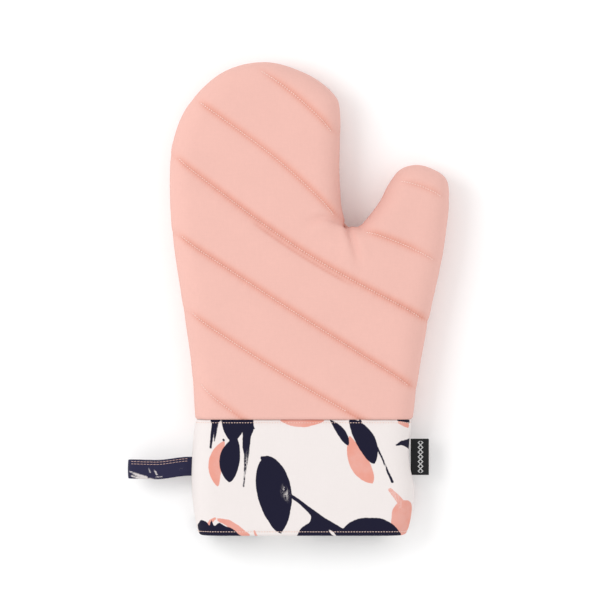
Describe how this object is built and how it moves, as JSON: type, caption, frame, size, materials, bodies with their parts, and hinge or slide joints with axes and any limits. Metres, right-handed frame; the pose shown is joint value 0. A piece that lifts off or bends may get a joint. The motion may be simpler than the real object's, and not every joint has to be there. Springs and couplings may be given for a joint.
{
  "type": "oven mitt",
  "caption": "Quilted oven mitt with a rounded finger part, a thumb, a printed cuff, a folded hanging loop and a side label.",
  "frame": {"origin": "middle of the mitt's footprint with its loop and label, on the surface that it lies on", "axes": "+Z out of the front face, +Y from the open cuff to the fingertips, +X towards the thumb"},
  "size_m": [0.2033, 0.2993, 0.0363],
  "materials": {
    "quilted_cotton": "plain-weave cotton, matt, quilted in diagonal rows",
    "sewing_thread": "polyester sewing thread, slight sheen",
    "printed_cotton": "off-white cotton with a brushed navy and coral leaf print",
    "lining_cotton": "plain cotton lining, matt",
    "wadding": "polyester wadding, soft and matt",
    "loop_cotton": "navy printed cotton strip",
    "label_weave": "woven black satin label with a plain woven pattern"
  },
  "bodies": {
    "mitt": {"cuff_back": "printed_cotton", "cuff_facing_back": "printed_cotton", "cuff_facing_front": "printed_cotton", "cuff_front": "printed_cotton", "cuff_topstitch_back": "sewing_thread", "cuff_topstitch_front": "sewing_thread", "cuff_wadding_back": "wadding", "cuff_wadding_front": "wadding", "hem_stitch_back": "sewing_thread", "hem_stitch_front": "sewing_thread", "lining_back": "lining_cotton", "lining_front": "lining_cotton", "outer_back": "quilted_cotton", "outer_front": "quilted_cotton", "quilt_row_1_back": "sewing_thread", "quilt_row_1_front": "sewing_thread", "quilt_row_2_back": "sewing_thread", "quilt_row_2_front": "sewing_thread", "quilt_row_3_back": "sewing_thread", "quilt_row_3_front": "sewing_thread", "quilt_row_4_back": "sewing_thread", "quilt_row_4_front": "sewing_thread", "quilt_row_5_back": "sewing_thread", "quilt_row_5_front": "sewing_thread", "quilt_row_6_back": "sewing_thread", "quilt_row_6_front": "sewing_thread", "quilt_row_thumb_1_back": "sewing_thread", "quilt_row_thumb_1_front": "sewing_thread", "quilt_row_thumb_2_back": "sewing_thread", "quilt_row_thumb_2_front": "sewing_thread", "wadding_back": "wadding", "wadding_front": "wadding"},
    "loop": {"hanging_loop": "loop_cotton", "loop_stitch_1": "sewing_thread", "loop_stitch_2": "sewing_thread"},
    "label": {"side_label": "label_weave"}
  },
  "joints": [
    {"name": "loop_swing", "type": "hinge", "parent": "mitt", "child": "loop", "pos_m": [-0.06298, -0.10685, 0.01615], "axis": [0, 1, 0], "range_deg": [-75, 75], "stiffness_Nm_per_rad": 0.002},
    {"name": "label_flap", "type": "hinge", "parent": "mitt", "child": "label", "pos_m": [0.07932, -0.10035, 0.01615], "axis": [0, -1, 0], "range_deg": [-75, 75], "stiffness_Nm_per_rad": 0.0005}
  ]
}
